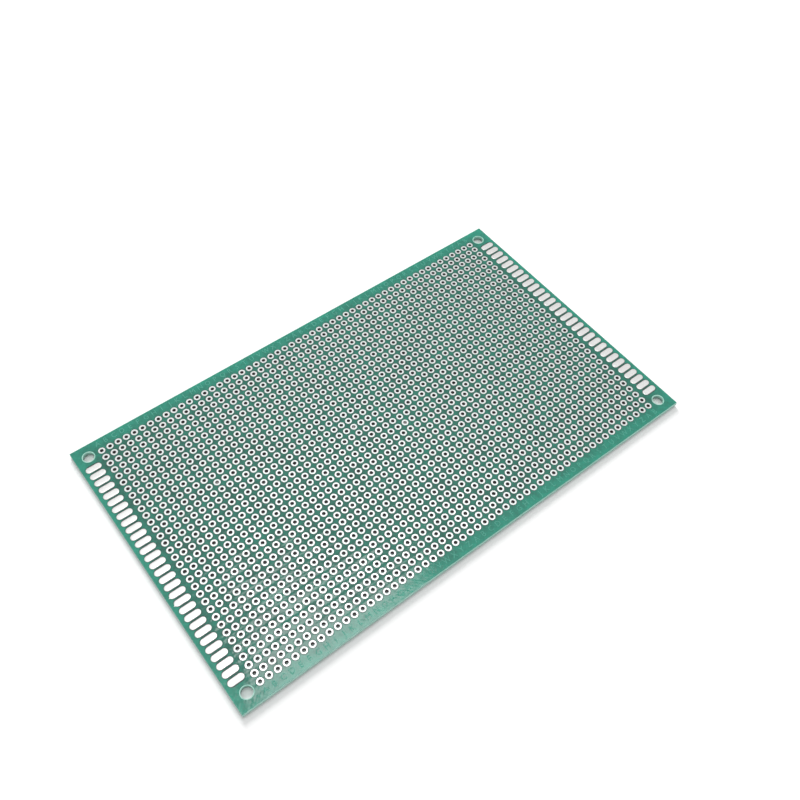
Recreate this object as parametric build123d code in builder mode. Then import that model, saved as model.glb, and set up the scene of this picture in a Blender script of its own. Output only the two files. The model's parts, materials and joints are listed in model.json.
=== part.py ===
from build123d import *
import os
from math import floor

# Prototype circuit board: a single-sided, drilled glass-epoxy board that lies flat with its copper
# side up. Millimetres, +Z up, +X along the long side. The origin is on the resting face, under the
# middle of the board.

# ---- driving dimensions -------------------------------------------------------------------------

# the board
board_length = 150.0
board_width = 90.0
board_thickness = 1.55  # laminate with its solder mask, under the pads

# the long edges are snapped along V scores cut from both faces
score_width = 0.2  # how far one score leans in from the snapped edge
score_web = 0.55  # unscored thickness that was snapped

# the lead grid
pitch = 2.54
lead_hole_diameter = 1.0
pad_gap = 0.51  # between neighbouring ring pads
index_strip = 3.3  # from a long edge to the first ring pads, where the index letters stand

# the finger pads at both short ends
finger_length = 4.6
finger_gap = 0.66  # between neighbouring fingers
finger_corner = 0.55  # how much of each corner the blunt finger ends lose
finger_edge_gap = 1.0  # from a short edge to the fingers
finger_field_gap = 1.0  # from the fingers to the first ring pads
uncovered_row_count = 3  # rows beyond the fingers, odd so that these sit half a pitch off the rows

# tinned copper, shared by the ring pads and the fingers
pad_height = 0.05

# the mounting holes in the corners
mount_hole_diameter = 3.2
mount_inset_x = 3.8  # from a short edge to a hole centre
mount_inset_y = 4.1  # from a long edge to a hole centre

# The many small circles are drawn as polygons whose flats touch the real circle. The two outermost
# rows of the lead grid are complete. Of the field between them, every few rows and columns are drilled.
lead_hole_sides = 4
pad_sides = 8
field_row_step = 4
field_column_step = 3
field_skip = 4  # rows and columns between the rim of the grid and the first drilled ones

# ---- dimensions that follow ---------------------------------------------------------------------

score_depth = (board_thickness - score_web) / 2
pad_diameter = pitch - pad_gap
pad_flat_turn = 180 / pad_sides  # turns a flat, not a corner, towards the next pad
lead_hole_flat_turn = 180 / lead_hole_sides
finger_width = pitch - finger_gap

field_end_margin = finger_edge_gap + finger_length + finger_field_gap + pad_diameter / 2
field_side_margin = index_strip + pad_diameter / 2
columns = floor((board_length - 2 * field_end_margin) / pitch) + 1
rows = floor((board_width - 2 * field_side_margin) / pitch) + 1
outer_row_y = (rows - 1) * pitch / 2
outer_column_x = (columns - 1) * pitch / 2
field_sites = [
    (column * pitch - outer_column_x, row * pitch - outer_row_y)
    for row in range(field_skip, rows - field_skip, field_row_step)
    for column in range(field_skip, columns - field_skip, field_column_step)
]

fingers = rows - uncovered_row_count
finger_x = board_length / 2 - finger_edge_gap - finger_length / 2

mount_spacing_x = board_length - 2 * mount_inset_x
mount_spacing_y = board_width - 2 * mount_inset_y

copper_side = Plane.XY.offset(board_thickness)

os.makedirs("parts", exist_ok=True)


# ---- the drilled board --------------------------------------------------------------------------

# The cross-section carries the scores on both long edges. The lead holes and the mounting holes run
# straight through it.
with BuildPart() as board:
    with BuildSketch(Plane.YZ):
        with BuildLine():
            Polyline(
                (board_width / 2 - score_width, 0),
                (board_width / 2, score_depth),
                (board_width / 2, board_thickness - score_depth),
                (board_width / 2 - score_width, board_thickness),
                (-board_width / 2 + score_width, board_thickness),
                (-board_width / 2, board_thickness - score_depth),
                (-board_width / 2, score_depth),
                (-board_width / 2 + score_width, 0),
                close=True,
            )
        make_face()
    extrude(amount=board_length / 2, both=True)
    with BuildSketch(copper_side):
        with GridLocations(pitch, 2 * outer_row_y, columns, 2):
            RegularPolygon(
                lead_hole_diameter / 2,
                lead_hole_sides,
                major_radius=False,
                rotation=lead_hole_flat_turn,
            )
        with Locations(*field_sites):
            RegularPolygon(
                lead_hole_diameter / 2,
                lead_hole_sides,
                major_radius=False,
                rotation=lead_hole_flat_turn,
            )
    extrude(amount=-board_thickness, mode=Mode.SUBTRACT)
    with Locations(copper_side):
        with GridLocations(mount_spacing_x, mount_spacing_y, 2, 2):
            Hole(mount_hole_diameter / 2)

board.part.label = "board"
export_step(board.part, "parts/board.step")


# ---- the ring pads of the outermost rows --------------------------------------------------------

for side, row_y in (("far", outer_row_y), ("near", -outer_row_y)):
    with BuildPart() as ring_pads:
        with BuildSketch(Plane(origin=(0, row_y, board_thickness))):
            with GridLocations(pitch, pitch, columns, 1):
                RegularPolygon(
                    pad_diameter / 2,
                    pad_sides,
                    major_radius=False,
                    rotation=pad_flat_turn,
                )
                RegularPolygon(
                    lead_hole_diameter / 2,
                    lead_hole_sides,
                    major_radius=False,
                    rotation=lead_hole_flat_turn,
                    mode=Mode.SUBTRACT,
                )
        extrude(amount=pad_height)
    ring_pads.part.label = f"{side}_ring_pads"
    export_step(ring_pads.part, f"parts/{side}_ring_pads.step")


# ---- the finger pads at the short ends ----------------------------------------------------------

for side, end_x in (("left", -finger_x), ("right", finger_x)):
    with BuildPart() as finger_pads:
        with BuildSketch(Plane(origin=(end_x, 0, board_thickness))) as finger_sketch:
            with GridLocations(pitch, pitch, 1, fingers):
                Rectangle(finger_length, finger_width)
            chamfer(finger_sketch.vertices(), finger_corner)
        extrude(amount=pad_height)
    finger_pads.part.label = f"{side}_finger_pads"
    export_step(finger_pads.part, f"parts/{side}_finger_pads.step")
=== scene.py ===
import json
import math
import random

import bpy
from mathutils import Matrix, Vector
from mathutils.geometry import delaunay_2d_cdt


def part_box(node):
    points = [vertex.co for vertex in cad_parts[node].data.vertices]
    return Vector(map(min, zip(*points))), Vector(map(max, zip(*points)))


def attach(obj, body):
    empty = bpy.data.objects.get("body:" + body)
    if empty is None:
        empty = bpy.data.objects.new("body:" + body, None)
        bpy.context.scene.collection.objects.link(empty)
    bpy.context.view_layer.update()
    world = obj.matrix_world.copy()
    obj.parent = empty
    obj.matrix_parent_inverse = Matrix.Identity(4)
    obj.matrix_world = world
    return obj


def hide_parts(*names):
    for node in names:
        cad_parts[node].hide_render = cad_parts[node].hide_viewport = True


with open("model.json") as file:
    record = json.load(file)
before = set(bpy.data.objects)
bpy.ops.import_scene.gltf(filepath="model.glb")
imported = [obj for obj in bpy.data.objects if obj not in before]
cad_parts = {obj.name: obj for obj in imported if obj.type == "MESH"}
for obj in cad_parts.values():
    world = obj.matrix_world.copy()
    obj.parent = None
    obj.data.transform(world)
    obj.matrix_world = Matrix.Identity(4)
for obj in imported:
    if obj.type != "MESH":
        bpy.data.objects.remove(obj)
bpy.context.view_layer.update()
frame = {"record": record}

# A drilled prototype circuit board, lying copper side up on a white table. Metres, in the frame of
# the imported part: +X along the long side, +Z out of the copper side.

# ---- sizes --------------------------------------------------------------------------------------

MM = 0.001
PITCH = 2.54 * MM
SIDES = 20  # of every round hole and pad

# The board and its lead grid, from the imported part.
board_low, board_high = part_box("board")
far_low, far_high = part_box("far_ring_pads")
near_low, near_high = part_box("near_ring_pads")
left_low, left_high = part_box("left_finger_pads")
right_low, right_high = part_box("right_finger_pads")
mounting = next(m for m in frame["record"]["mounts"] if m["name"] == "mounting_holes")

END_X = board_high.x
EDGE_Y = board_high.y
OUTER_ROW_Y = (far_low.y + far_high.y) / 2
COLUMNS = round((far_high.x - far_low.x) / PITCH)
ROWS = round(2 * OUTER_ROW_Y / PITCH) + 1
OUTER_COLUMN_X = (COLUMNS - 1) / 2 * PITCH
PAD_RADIUS = (far_high.y - far_low.y) / 2
FINGERS = round((left_high.y - left_low.y) / PITCH)
FINGER_LENGTH = left_high.x - left_low.x
FINGER_WIDTH = (left_high.y - left_low.y) - (FINGERS - 1) * PITCH
MOUNT_X = mounting["dims"]["spacing_x_mm"] * MM / 2
MOUNT_Y = mounting["dims"]["spacing_y_mm"] * MM / 2
MOUNT_RADIUS = mounting["dims"]["hole_r_mm"] * MM

LEAD_HOLE_RADIUS = 0.5 * MM
SCORE_LEAN = 0.12 * MM  # how far the V score on a long edge leans in
SCORE_WEB = 0.55 * MM  # the snapped thickness between the two scores

# How far the mask stays back, with bare laminate showing.
PAD_GAP = 0.11 * MM  # from a ring pad
FINGER_SIDE_GAP = 0.25 * MM  # from a finger's long sides
FINGER_TIP_GAP = 0.04 * MM  # from its tips
BACK_HOLE_GAP = 0.09 * MM  # from a lead hole on the plain side
MOUNT_GAP = 0.24 * MM  # from a mounting hole
SCORE_GAP = 0.05 * MM  # from a score

MASK_THICKNESS = 0.03 * MM
INK_THICKNESS = 0.015 * MM
PAD_TOP = far_high.z
MASK_TOP = board_high.z
LAMINATE_TOP = MASK_TOP - MASK_THICKNESS
MASK_BOTTOM = board_low.z + INK_THICKNESS
LAMINATE_BOTTOM = MASK_BOTTOM + MASK_THICKNESS


def column_x(column):
    return column * PITCH - OUTER_COLUMN_X


def row_y(row):
    """Rows count from the near edge."""
    return row * PITCH - OUTER_ROW_Y


def finger_y(finger):
    """Fingers count from the near edge too."""
    return (finger - (FINGERS - 1) / 2) * PITCH


SITES = [(column_x(column), row_y(row)) for row in range(ROWS) for column in range(COLUMNS)]
MOUNTS = [(side_x * MOUNT_X, side_y * MOUNT_Y) for side_x in (-1, 1) for side_y in (-1, 1)]
LEFT_FINGER_X = (left_low.x + left_high.x) / 2
RIGHT_FINGER_X = (right_low.x + right_high.x) / 2

# Blemishes of this board.
BLOCKED_SITES = ((8, 21), (12, 8), (24, 18), (29, 15))  # column and row of holes that tin ran into
TAILED_FINGERS = (10, 11)  # left fingers with a tail of tin at the tip
TAIL_LENGTH = 0.35 * MM


# ---- outlines, as lists of (x, y) going anticlockwise ---------------------------------------------

def circle(centre, radius, sides=SIDES):
    steps = [math.tau * i / sides for i in range(sides)]
    return [(centre[0] + radius * math.cos(a), centre[1] + radius * math.sin(a)) for a in steps]


def stadium(centre, length, width, sides=SIDES):
    """A slot shape along X with fully round ends."""
    straight = (length - width) / 2
    points = []
    for end, start in ((1, -math.pi / 2), (-1, math.pi / 2)):
        for i in range(sides // 2 + 1):
            a = start + math.tau * i / sides
            x = centre[0] + end * straight + width / 2 * math.cos(a)
            points.append((x, centre[1] + width / 2 * math.sin(a)))
    return points


def rectangle(half_x, half_y):
    return [(-half_x, -half_y), (half_x, -half_y), (half_x, half_y), (-half_x, half_y)]


# ---- mesh making ----------------------------------------------------------------------------------

class Shape:
    """Collects points and faces, and turns them into one piece."""

    def __init__(self):
        self.points = []
        self.faces = []

    def loop(self, outline, z):
        first = len(self.points)
        self.points.extend((x, y, z) for x, y in outline)
        return list(range(first, len(self.points)))

    def bridge(self, lower, upper):
        """Walls between two loops, facing out of an anticlockwise outline."""
        for i in range(len(lower)):
            self.faces.append((lower[i - 1], lower[i], upper[i], upper[i - 1]))

    def cap(self, loop, up):
        self.faces.append(tuple(loop) if up else tuple(reversed(loop)))

    def ring_solid(self, centre, profile):
        """A closed ring round a vertical axis. The profile of (radius, z) goes up the outside first."""
        loops = [self.loop(circle(centre, radius), z) for radius, z in profile]
        for i in range(len(loops)):
            self.bridge(loops[i - 1], loops[i])

    def mound(self, outlines):
        """A closed lump with a flat foot, from a stack of (outline, z), lowest first."""
        loops = [self.loop(outline, z) for outline, z in outlines]
        self.cap(loops[0], up=False)
        for lower, upper in zip(loops, loops[1:]):
            self.bridge(lower, upper)
        self.cap(loops[-1], up=True)

    def add(self, points, faces, matrix):
        """Takes in ready points and faces, moved by the matrix."""
        first = len(self.points)
        self.points.extend(tuple(matrix @ Vector(p)) for p in points)
        self.faces.extend(tuple(first + i for i in face) for face in faces)

    def piece(self, name, material, slot, sharp_angle=40):
        """Edges that turn by more than sharp_angle degrees stay sharp."""
        mesh = bpy.data.meshes.new(name)
        mesh.from_pydata(self.points, [], self.faces)
        mesh.materials.append(material)
        mesh.shade_smooth()
        mesh.set_sharp_from_angle(angle=math.radians(sharp_angle))
        made = bpy.data.objects.new(name, mesh)
        bpy.context.scene.collection.objects.link(made)
        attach(made, "root")
        return made


def filled(outline, openings):
    """Triangles over the outline that leave the openings free, as indices into all their points in
    order. A triangle whose corners all lie on one opening is inside it."""
    margin = 1e-6  # millimetres within which two points count as one
    points, edges, owner = [], [], []
    for number, points_of_loop in enumerate([outline, *openings]):
        first = len(points)
        count = len(points_of_loop)
        points.extend(Vector(p) / MM for p in points_of_loop)
        edges.extend((first + i, first + (i + 1) % count) for i in range(count))
        owner.extend([number] * count)
    triangles = delaunay_2d_cdt(points, edges, [], 0, margin, False)[2]
    return [t for t in triangles if not owner[t[0]] == owner[t[1]] == owner[t[2]] > 0]


def perforated(outlines, openings):
    """A closed slab. outlines is a stack of (outline, z), lowest first, of which the first and the
    last are alike; the openings run straight through it."""
    shape = Shape()
    (bottom, low), *middle, (top, high) = outlines
    triangles = filled(bottom, openings)
    bottom_loop = shape.loop(bottom, low)
    bottom_holes = [shape.loop(opening, low) for opening in openings]
    top_first = len(shape.points)
    top_loop = shape.loop(top, high)
    top_holes = [shape.loop(opening, high) for opening in openings]
    walls = [bottom_loop, *(shape.loop(outline, z) for outline, z in middle), top_loop]
    for lower, upper in zip(walls, walls[1:]):
        shape.bridge(lower, upper)
    for lower, upper in zip(bottom_holes, top_holes):
        shape.bridge(upper, lower)
    shape.faces.extend((t[2], t[1], t[0]) for t in triangles)
    shape.faces.extend(tuple(top_first + i for i in t) for t in triangles)
    return shape


# ---- lettering ------------------------------------------------------------------------------------

known_labels = {}


def label(text):
    """Points and faces of a raised text one unit high and one unit deep, centred, facing +Z."""
    if text in known_labels:
        return known_labels[text]
    curve = bpy.data.curves.new("label", "FONT")
    curve.body = text
    curve.align_x = "CENTER"
    curve.resolution_u = 2
    curve.extrude = 0.5
    holder = bpy.data.objects.new("label", curve)
    bpy.context.scene.collection.objects.link(holder)
    bpy.context.view_layer.update()
    made = holder.evaluated_get(bpy.context.evaluated_depsgraph_get())
    mesh = bpy.data.meshes.new_from_object(made)
    height = max(v.co.y for v in mesh.vertices)
    low_x = min(v.co.x for v in mesh.vertices)
    high_x = max(v.co.x for v in mesh.vertices)
    middle = (low_x + high_x) / 2
    points = [((v.co.x - middle) / height, v.co.y / height - 0.5, v.co.z + 0.5) for v in mesh.vertices]
    faces = [tuple(p.vertices) for p in mesh.polygons]
    bpy.data.objects.remove(holder)
    bpy.data.curves.remove(curve)
    bpy.data.meshes.remove(mesh)
    known_labels[text] = (points, faces)
    return known_labels[text]


def index_letter(column):
    """A to Z along the columns, over and over."""
    return chr(ord("A") + column % 26)


# ---- materials ------------------------------------------------------------------------------------

THREAD_PAIR = 1.1  # millimetres from one thread of the glass cloth to the next but one
WHITE = (1, 1, 1, 1)


class Nodes:
    """Adds nodes to a node tree. A value given to one is a number, a tuple or another's output."""

    def __init__(self, tree):
        self.tree = tree

    def node(self, kind, **settings):
        made = self.tree.nodes.new(kind)
        for key, value in settings.items():
            setattr(made, key, value)
        return made

    def feed(self, socket, value):
        if isinstance(value, bpy.types.NodeSocket):
            self.tree.links.new(value, socket)
        else:
            socket.default_value = value

    def math(self, operation, *values):
        made = self.node("ShaderNodeMath", operation=operation)
        for socket, value in zip(made.inputs, values):
            self.feed(socket, value)
        return made.outputs[0]

    def between(self, value, low, high, to_low=0.0, to_high=1.0):
        """The value brought from low..high to to_low..to_high, and held there beyond it."""
        made = self.node("ShaderNodeMapRange")
        for socket, given in zip(made.inputs, (value, low, high, to_low, to_high)):
            self.feed(socket, given)
        return made.outputs["Result"]

    def mix(self, share, first, second):
        """Two colours mixed. Each is a tuple or another node's output."""
        made = self.node("ShaderNodeMix", data_type="RGBA")
        self.feed(made.inputs["Factor"], share)
        self.feed(made.inputs["A"], (*first, 1) if isinstance(first, tuple) else first)
        self.feed(made.inputs["B"], (*second, 1) if isinstance(second, tuple) else second)
        return made.outputs["Result"]

    def axes(self, vector):
        split = self.node("ShaderNodeSeparateXYZ")
        self.feed(split.inputs[0], vector)
        return split.outputs


class Look(Nodes):
    """A node material on the Principled shader. Its place is the object's own, in millimetres."""

    def __init__(self, name, roughness, metallic=0.0):
        self.material = bpy.data.materials.new(name)
        self.material.use_nodes = True
        super().__init__(self.material.node_tree)
        self.shader = self.tree.nodes["Principled BSDF"]
        self.shader.inputs["Roughness"].default_value = roughness
        self.shader.inputs["Metallic"].default_value = metallic
        scaled = self.node("ShaderNodeVectorMath", operation="SCALE")
        self.feed(scaled.inputs[0], self.node("ShaderNodeTexCoord").outputs["Object"])
        scaled.inputs["Scale"].default_value = 1 / MM
        self.place = scaled.outputs["Vector"]

    def stretched(self, *scale):
        """The place with each axis scaled. A scale below one draws a pattern out along that axis."""
        made = self.node("ShaderNodeVectorMath", operation="MULTIPLY")
        self.feed(made.inputs[0], self.place)
        made.inputs[1].default_value = scale
        return made.outputs["Vector"]

    def noise(self, grain, detail=2.0, place=None):
        """Noise from 0 to 1 whose blotches are about grain millimetres wide."""
        made = self.node("ShaderNodeTexNoise")
        self.feed(made.inputs["Vector"], place or self.place)
        made.inputs["Scale"].default_value = 1 / grain
        made.inputs["Detail"].default_value = detail
        return made.outputs["Fac"]

    def weave(self):
        """The glass cloth under the surface: a plain weave of threads, from 0 to 1."""
        x, y, _ = self.axes(self.place)
        turn = math.tau / THREAD_PAIR
        across = self.math("SINE", self.math("MULTIPLY", x, turn))
        along = self.math("SINE", self.math("MULTIPLY", y, turn))
        return self.math("MULTIPLY_ADD", self.math("MULTIPLY", across, along), 0.5, 0.5)

    def edge_closeness(self, x, y, near, far):
        """1 at the board's outer edge up to near millimetres inside it, 0 beyond far."""
        to_end = self.math("SUBTRACT", END_X / MM, self.math("ABSOLUTE", x))
        to_edge = self.math("SUBTRACT", EDGE_Y / MM, self.math("ABSOLUTE", y))
        return self.between(self.math("MINIMUM", to_end, to_edge), near, far, 1.0, 0.0)

    def mount_closeness(self, x, y):
        """1 at a mounting hole and on the bare ring round it, 0 beyond."""
        from_x = self.math("SUBTRACT", self.math("ABSOLUTE", x), MOUNT_X / MM)
        from_y = self.math("SUBTRACT", self.math("ABSOLUTE", y), MOUNT_Y / MM)
        square_x = self.math("MULTIPLY", from_x, from_x)
        square_y = self.math("MULTIPLY", from_y, from_y)
        reach = (MOUNT_RADIUS + 1.5 * MOUNT_GAP) / MM
        return self.math("LESS_THAN", self.math("ADD", square_x, square_y), reach * reach)

    def colour(self, value):
        self.feed(self.shader.inputs["Base Color"], value)

    def roughness(self, value):
        self.feed(self.shader.inputs["Roughness"], value)

    def bump(self, height, depth):
        """A height of 1 stands for depth millimetres."""
        made = self.node("ShaderNodeBump")
        made.inputs["Strength"].default_value = 1.0
        made.inputs["Distance"].default_value = depth * MM
        self.feed(made.inputs["Height"], height)
        self.feed(self.shader.inputs["Normal"], made.outputs["Normal"])


def solder_mask(name, deep, bright, gloss=(0.09, 0.14)):
    """Glossy green lacquer. Its colour is painted lighter towards the board's edges, as painted light
    for the light that comes through the laminate from the side, and the rows of pads under it draw it
    into ripples along X."""
    edge_band = 6.0  # millimetres
    look = Look(name, roughness=0.2)
    x, y, _ = look.axes(look.place)
    edge_light = look.edge_closeness(x, y, 0.0, edge_band)
    clouds = look.between(look.noise(5.0, 3.0), 0.3, 0.7, 0.0, 0.25)
    flecks = look.between(look.noise(1.1, 2.0), 0.3, 0.7, -0.1, 0.2)
    blotches = look.math("ADD", clouds, flecks)
    threads = look.math("MULTIPLY", look.weave(), 0.12)
    pattern = look.math("ADD", blotches, threads)
    # painted light: the colour is lighter towards the board's edges
    share = look.math("ADD", pattern, look.math("MULTIPLY", edge_light, 0.55))
    look.colour(look.mix(share, deep, bright))
    look.roughness(look.between(look.noise(2.0), 0.3, 0.7, *gloss))
    waves = look.math("ADD", look.noise(1.6, 1.0), look.math("MULTIPLY", look.weave(), 0.15))
    ripples = look.noise(1.6, 1.0, look.stretched(0.15, 1.0, 1.0))
    among_pads = look.between(edge_light, 0.0, 0.6, 6.5, 0.5)
    look.bump(look.math("MULTIPLY_ADD", ripples, among_pads, waves), depth=0.02)
    return look.material


def tin(name, bright, dull):
    """Hot-dipped tin on copper: bright, a little uneven, each pad with its own shade."""
    pad_cell = (PITCH / MM, PITCH / MM, 100.0)
    look = Look(name, roughness=0.4, metallic=1.0)
    cell = look.node("ShaderNodeVectorMath", operation="SNAP")
    look.feed(cell.inputs[0], look.place)
    cell.inputs[1].default_value = pad_cell
    own = look.node("ShaderNodeTexWhiteNoise")
    look.feed(own.inputs["Vector"], cell.outputs["Vector"])
    own_share = look.math("MULTIPLY", own.outputs["Value"], 0.5)
    shade = look.math("MULTIPLY_ADD", look.noise(0.4, 3.0), 0.5, own_share)
    look.colour(look.mix(shade, bright, dull))
    look.roughness(look.between(shade, 0.2, 0.8, 0.32, 0.5))
    look.bump(look.noise(0.35, 2.0), depth=0.012)
    return look.material


def laminate():
    """Bare glass-epoxy, streaked by the cloth's layers, with painted light and shade in its colour: pale
    green at the top of a cut edge and round a mounting hole, partly the laminate's own colour and partly
    painted light; greyer further down, in painted shade; dark in the lead holes, in painted shade; and
    near black between a pad and the mask, partly the laminate's own darker tone and partly painted
    shade.
    Heights are millimetres over the resting face."""
    look = Look("bare_laminate", roughness=0.6)
    x, y, z = look.axes(look.place)
    layers = look.noise(1.2, 4.0, look.stretched(1.0, 1.0, 8.0))
    streaks = look.between(layers, 0.35, 0.65)
    # painted light: the top of a cut edge and the ring round a mounting hole are pale green, partly the
    # laminate's own colour and partly painted light
    lit_rim = look.mix(streaks, (0.3, 0.6, 0.5), (0.46, 0.74, 0.65))
    # painted shade: the lower part of a cut edge is greyer
    wall = look.mix(streaks, (0.17, 0.23, 0.215), (0.28, 0.35, 0.33))
    # painted shade: dark walls near the mouth of a lead hole
    shaded_mouth = look.mix(streaks, (0.11, 0.085, 0.088), (0.165, 0.134, 0.138))
    # painted shade: a lead hole's wall deeper down, less dark than at its mouth
    depths = (0.31, 0.24, 0.26)
    # near black in the narrow gap round a pad or finger: partly the laminate's own darker tone, partly
    # painted shade
    shaded_gap = (0.038, 0.044, 0.042)
    hole = look.mix(look.between(z, 0.5, 1.1), depths, shaded_mouth)
    core = look.mix(look.between(z, 1.5, 1.515), hole, shaded_gap)
    # painted light at the top of a cut edge, painted shade lower down
    cut = look.mix(look.between(z, 0.4, 1.0), wall, lit_rim)
    bare = look.math("MAXIMUM", look.edge_closeness(x, y, 0.3, 0.5), look.mount_closeness(x, y))
    look.colour(look.mix(bare, core, cut))
    look.bump(layers, depth=0.05)
    return look.material


def legend_ink():
    """White print, a little worn."""
    look = Look("white_legend", roughness=0.5)
    look.colour(look.mix(look.noise(0.3, 3.0), (0.8, 0.83, 0.8), (0.68, 0.73, 0.69)))
    look.bump(look.noise(0.15), depth=0.004)
    return look.material


front_green = solder_mask("front_solder_mask", (0.018, 0.098, 0.072), (0.022, 0.29, 0.2))
back_green = solder_mask("back_solder_mask", (0.005, 0.15, 0.1), (0.01, 0.26, 0.18))
copper_green = solder_mask(
    "mask_over_copper", (0.045, 0.26, 0.19), (0.07, 0.35, 0.26), gloss=(0.4, 0.5)
)
ring_tin = tin("ring_tin", (0.935, 0.975, 0.965), (0.85, 0.895, 0.885))
finger_tin = tin("finger_tin", (0.965, 0.965, 0.955), (0.89, 0.895, 0.885))
dull_tin = tin("dull_tin", (0.55, 0.5, 0.5), (0.42, 0.39, 0.39))
glass_epoxy = laminate()
white_ink = legend_ink()


# ---- the board ------------------------------------------------------------------------------------

def score_stack(low, high):
    """The board's outline at each height. Both long edges lean in above and below the snapped web."""
    middle = (board_low.z + board_high.z) / 2
    leaning = rectangle(END_X, EDGE_Y - SCORE_LEAN)
    full = rectangle(END_X, EDGE_Y)
    return [
        (leaning, low),
        (full, middle - SCORE_WEB / 2),
        (full, middle + SCORE_WEB / 2),
        (leaning, high),
    ]


def make_laminate():
    """The drilled board itself."""
    lead_holes = [circle(site, LEAD_HOLE_RADIUS) for site in SITES]
    mount_holes = [circle(place, MOUNT_RADIUS, 2 * SIDES) for place in MOUNTS]
    core = perforated(score_stack(LAMINATE_BOTTOM, LAMINATE_TOP), lead_holes + mount_holes)
    piece = core.piece("laminate", glass_epoxy, "bare_laminate")
    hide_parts("board")


def make_masks():
    """The green lacquer on both faces, open at the pads and holes."""
    outline = rectangle(END_X, EDGE_Y - SCORE_LEAN - SCORE_GAP)
    mount_openings = [circle(place, MOUNT_RADIUS + MOUNT_GAP, 2 * SIDES) for place in MOUNTS]
    pad_openings = [circle(site, PAD_RADIUS + PAD_GAP) for site in SITES]
    opening_length = FINGER_LENGTH + 2 * FINGER_TIP_GAP
    opening_width = FINGER_WIDTH + 2 * FINGER_SIDE_GAP
    finger_openings = [
        stadium((x, finger_y(finger)), opening_length, opening_width)
        for x in (LEFT_FINGER_X, RIGHT_FINGER_X)
        for finger in range(FINGERS)
    ]
    front = perforated(
        [(outline, LAMINATE_TOP), (outline, MASK_TOP)],
        pad_openings + finger_openings + mount_openings,
    )
    front.piece("front_mask", front_green, "green_mask")
    hole_openings = [circle(site, LEAD_HOLE_RADIUS + BACK_HOLE_GAP) for site in SITES]
    back = perforated(
        [(outline, MASK_BOTTOM), (outline, LAMINATE_BOTTOM)],
        hole_openings + mount_openings,
    )
    back.piece("back_mask", back_green, "green_mask")


# ---- the tinned pads --------------------------------------------------------------------------------

def ring_pad_profile(crest):
    """Up the outside, over the tin and down into the hole, with rounded shoulders."""
    shoulder = crest - 0.03 * MM
    return [
        (PAD_RADIUS, LAMINATE_TOP),
        (PAD_RADIUS - 0.015 * MM, shoulder),
        (PAD_RADIUS - 0.06 * MM, crest),
        (LEAD_HOLE_RADIUS + 0.07 * MM, crest),
        (LEAD_HOLE_RADIUS + 0.02 * MM, shoulder),
        (LEAD_HOLE_RADIUS, LAMINATE_TOP),
    ]


def make_ring_pads():
    """Three pieces of as many rows each. The tin stands a little lower on some pads than on others."""
    chance = random.Random(11)
    dip = 0.012  # millimetres
    third = ROWS // 3
    parts = (("near", 0, "near_ring_pads"), ("middle", third, None), ("far", 2 * third, "far_ring_pads"))
    for name, first, replaced in parts:
        pads = Shape()
        for row in range(first, first + third):
            for column in range(COLUMNS):
                crest = PAD_TOP - chance.uniform(0.0, dip) * MM
                pads.ring_solid((column_x(column), row_y(row)), ring_pad_profile(crest))
        piece = pads.piece(f"ring_pads_{name}", ring_tin, "tinned_copper", sharp_angle=22)
        if replaced:
            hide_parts(replaced)


def make_plugs():
    """Tin that ran into a few of the lead holes and set there with a dimple."""
    # Gap to the hole's wall and depth, millimetres: the foot, the brim and down into the dimple.
    dimple = ((0.01, 0.8), (0.01, 0.2), (0.2, 0.5), (0.38, 0.6))
    plugs = Shape()
    for column, row in BLOCKED_SITES:
        site = (column_x(column), row_y(row))
        stack = []
        for gap, depth in dimple:
            stack.append((circle(site, LEAD_HOLE_RADIUS - gap * MM), LAMINATE_TOP - depth * MM))
        plugs.mound(stack)
    plugs.piece("hole_plugs", dull_tin, "tinned_copper")


def make_fingers():
    """The finger pads along both ends, with the tin crowned towards their middle."""
    steps = ((0.0, 0.0), (0.02, 0.045), (0.1, 0.07), (0.35, 0.08))  # inset and height, millimetres
    below_tip = SIDES // 2 + 1 + SIDES // 4 + 1  # the corner of a stadium just below its left tip
    for side, x in (("left", LEFT_FINGER_X), ("right", RIGHT_FINGER_X)):
        fingers = Shape()
        for finger in range(FINGERS):
            stack = []
            for inset, height in steps:
                outline = stadium(
                    (x, finger_y(finger)),
                    FINGER_LENGTH - 2 * inset * MM,
                    FINGER_WIDTH - 2 * inset * MM,
                )
                if side == "left" and finger in TAILED_FINGERS:
                    tail_x, tail_y = outline[below_tip]
                    outline[below_tip] = (tail_x - TAIL_LENGTH, tail_y)
                stack.append((outline, LAMINATE_TOP + height * MM))
            fingers.mound(stack)
        piece = fingers.piece(f"{side}_fingers", finger_tin, "tinned_copper", sharp_angle=75)
        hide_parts(f"{side}_finger_pads")


# ---- lettering on both sides ------------------------------------------------------------------------

def make_index_letters():
    """Letters etched in the copper on both long edges stand up a little under the mask."""
    letters = Shape()
    far_line_y = 43.3 * MM
    near_line_y = -43.1 * MM
    foot = MASK_TOP - 0.004 * MM
    size = Matrix.Diagonal((1.472 * MM, 1.6 * MM, 0.03 * MM, 1))
    for y in (far_line_y, near_line_y):
        for column in range(COLUMNS):
            place = Matrix.Translation((column_x(column), y, foot))
            letters.add(*label(index_letter(column)), place @ size)
    letters.piece("index_letters", copper_green, "green_mask")


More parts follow.
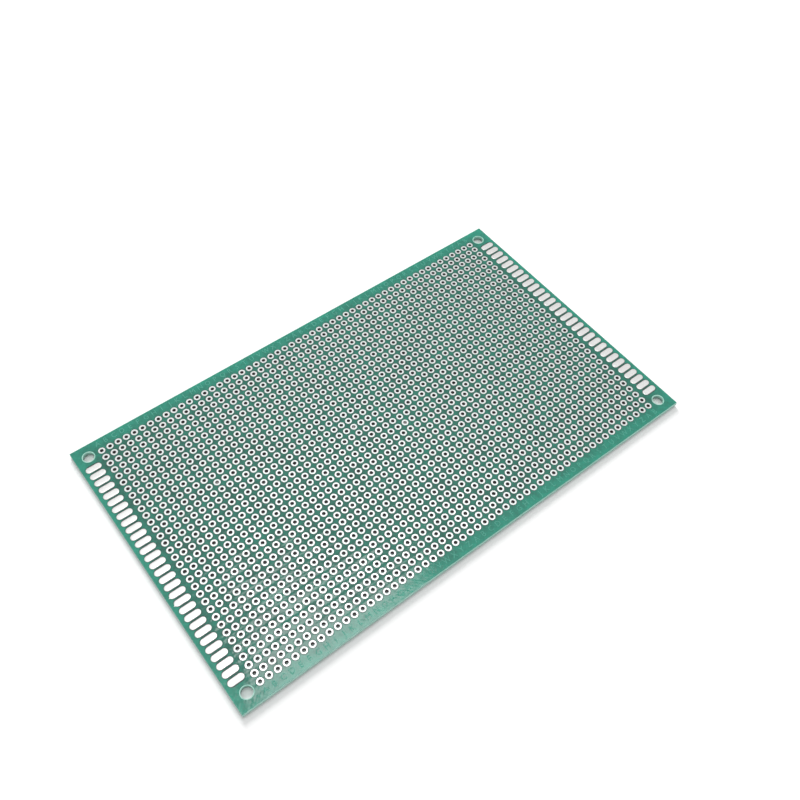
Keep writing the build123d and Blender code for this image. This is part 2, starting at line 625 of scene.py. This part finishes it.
def make_legend():
    """White print on the plain side: letters along the near edge, numbers along the left end and
    dashes from hole to hole along the guide rows and columns."""
    print_layer = Shape()
    face_down = Matrix.Rotation(math.pi, 4, "X")
    towards_end = Matrix.Rotation(-math.pi / 2, 4, "Z")
    letter_size = Matrix.Diagonal((1.35 * MM, 1.45 * MM, INK_THICKNESS, 1))
    number_size = Matrix.Diagonal((1.25 * MM, 1.55 * MM, INK_THICKNESS, 1))
    letters_y = -OUTER_ROW_Y - 2.65 * MM
    numbers_x = -OUTER_COLUMN_X - 2.0 * MM
    dash_length = 1.25 * MM
    dash_width = 0.27 * MM
    for column in range(COLUMNS):
        place = Matrix.Translation((column_x(column), letters_y, MASK_BOTTOM))
        print_layer.add(*label(index_letter(column)), place @ face_down @ letter_size)
    for row in range(ROWS):
        place = Matrix.Translation((numbers_x, row_y(row), MASK_BOTTOM))
        print_layer.add(*label(str(row + 1)), place @ towards_end @ face_down @ number_size)
    guide_rows = (1, 6, 11, 16, 21, 26, 30, 33)
    guide_columns = (1, 5, 9, 14, 19, 24, 29, 34, 39, 44, 49, 54)
    dashes = [(column_x(c + 0.5), row_y(r - 1), True) for r in guide_rows for c in range(COLUMNS - 1)]
    dashes += [(column_x(c - 1), row_y(r + 0.5), False) for c in guide_columns for r in range(ROWS - 1)]
    dash = stadium((0, 0), dash_length, dash_width, sides=6)
    for x, y, along_x in dashes:
        outline = [(x + u, y + v) if along_x else (x - v, y + u) for u, v in dash]
        print_layer.mound([(outline, board_low.z), (outline, MASK_BOTTOM)])
    print_layer.piece("back_legend", white_ink, "white_legend")


make_laminate()
make_masks()
make_ring_pads()
make_plugs()
make_fingers()
make_index_letters()
make_legend()


# ---- table, light and camera ----------------------------------------------------------------------

TABLE_GAP = 0.25 * MM  # between the table and the board's resting face
TABLE_HALF = 2.0


def make_table():
    """A white table that takes the board's shadow and fades into the room. It is clear from below,
    and to what lies right on it, so that light from below reaches the plain side."""
    near, far = 120, 450  # millimetres from the board's middle between which it comes to glow
    top = Shape()
    top.cap(top.loop(rectangle(TABLE_HALF, TABLE_HALF), board_low.z - TABLE_GAP), up=True)
    mesh = bpy.data.meshes.new("table")
    mesh.from_pydata(top.points, [], top.faces)
    table = bpy.data.objects.new("table", mesh)
    bpy.context.scene.collection.objects.link(table)
    look = Look("white_table", roughness=0.9)
    look.colour((0.93, 0.93, 0.93, 1))
    look.shader.inputs["Specular IOR Level"].default_value = 0.0
    look.shader.inputs["Emission Color"].default_value = WHITE
    ray = look.node("ShaderNodeLightPath").outputs
    distance = look.node("ShaderNodeVectorMath", operation="LENGTH")
    look.feed(distance.inputs[0], look.place)
    glow = look.between(distance.outputs["Value"], near, far, 0.05, 1.0)
    mirrored = look.math("MAXIMUM", ray["Is Glossy Ray"], ray["Is Transmission Ray"])
    seen = look.math("MAXIMUM", ray["Is Camera Ray"], mirrored)
    look.feed(look.shader.inputs["Emission Strength"], look.math("MULTIPLY", seen, glow))
    below = look.node("ShaderNodeNewGeometry").outputs["Backfacing"]
    on_table = look.math("LESS_THAN", ray["Ray Length"], 3 * TABLE_GAP)
    either = look.node("ShaderNodeMixShader")
    look.feed(either.inputs[0], look.math("MAXIMUM", below, on_table))
    look.feed(either.inputs[1], look.shader.outputs["BSDF"])
    look.feed(either.inputs[2], look.node("ShaderNodeBsdfTransparent").outputs["BSDF"])
    look.feed(look.tree.nodes["Material Output"].inputs["Surface"], either.outputs["Shader"])
    mesh.materials.append(look.material)


def make_room():
    """A white room, brighter overhead and underneath than round about, and as white as paper to the
    camera. Matt surfaces get a little less of its light, so that the lamps can model them."""
    world = bpy.data.worlds.new("room")
    world.use_nodes = True
    bpy.context.scene.world = world
    room = Nodes(world.node_tree)
    direction = room.axes(room.node("ShaderNodeTexCoord").outputs["Generated"])
    steepness = room.math("ABSOLUTE", direction["Z"])
    ceiling = room.between(steepness, 0.76, 0.88, 0.66, 0.98)
    ray = room.node("ShaderNodeLightPath").outputs
    softened = room.math("MULTIPLY_ADD", ray["Is Diffuse Ray"], -0.18, 1.0)
    seen = room.math("MAXIMUM", ray["Is Camera Ray"], ray["Is Transmission Ray"])
    background = world.node_tree.nodes["Background"]
    background.inputs["Color"].default_value = WHITE
    strength = room.between(seen, 0.0, 1.0, room.math("MULTIPLY", ceiling, softened), 1.0)
    room.feed(background.inputs["Strength"], strength)


def make_lamps():
    """A soft lamp overhead, which the mask mirrors at its near left, and a large window behind."""
    for name, size, energy, mirrored, location in (
        ("overhead_lamp", 0.22, 0.8, True, Vector((0.086, 0.153, 0.8))),
        ("window", 0.6, 13.0, False, Vector((0.35, 1.0, 0.78))),
    ):
        lamp = bpy.data.lights.new(name, "AREA")
        lamp.shape = "SQUARE"
        lamp.size = size
        lamp.energy = energy
        holder = bpy.data.objects.new(name, lamp)
        holder.visible_glossy = mirrored
        holder.location = location
        holder.rotation_euler = (-location).to_track_quat("-Z", "Y").to_euler()
        bpy.context.scene.collection.objects.link(holder)


def make_camera():
    """Looks down on the board from its near left, turned a little about its line of sight."""
    aim = Vector((10.0 * MM, 4.55 * MM, PAD_TOP))
    distance = 267.0 * MM
    azimuth = math.radians(-39.81)
    elevation = math.radians(54.81)
    roll = math.radians(2.57)
    back = Vector(
        (
            math.sin(azimuth) * math.cos(elevation),
            -math.cos(azimuth) * math.cos(elevation),
            math.sin(elevation),
        )
    )
    camera = bpy.data.cameras.new("camera")
    camera.sensor_width = 36.0
    camera.lens = 41.05
    camera.clip_start = 10 * MM
    camera.clip_end = 20.0
    holder = bpy.data.objects.new("camera", camera)
    holder.location = aim + back * distance
    holder.rotation_mode = "QUATERNION"
    level = (-back).to_track_quat("-Z", "Y")
    holder.rotation_quaternion = level @ Matrix.Rotation(roll, 3, "Z").to_quaternion()
    bpy.context.scene.collection.objects.link(holder)
    bpy.context.scene.camera = holder


make_table()
make_room()
make_lamps()
make_camera()
bpy.context.scene.view_settings.view_transform = "Standard"
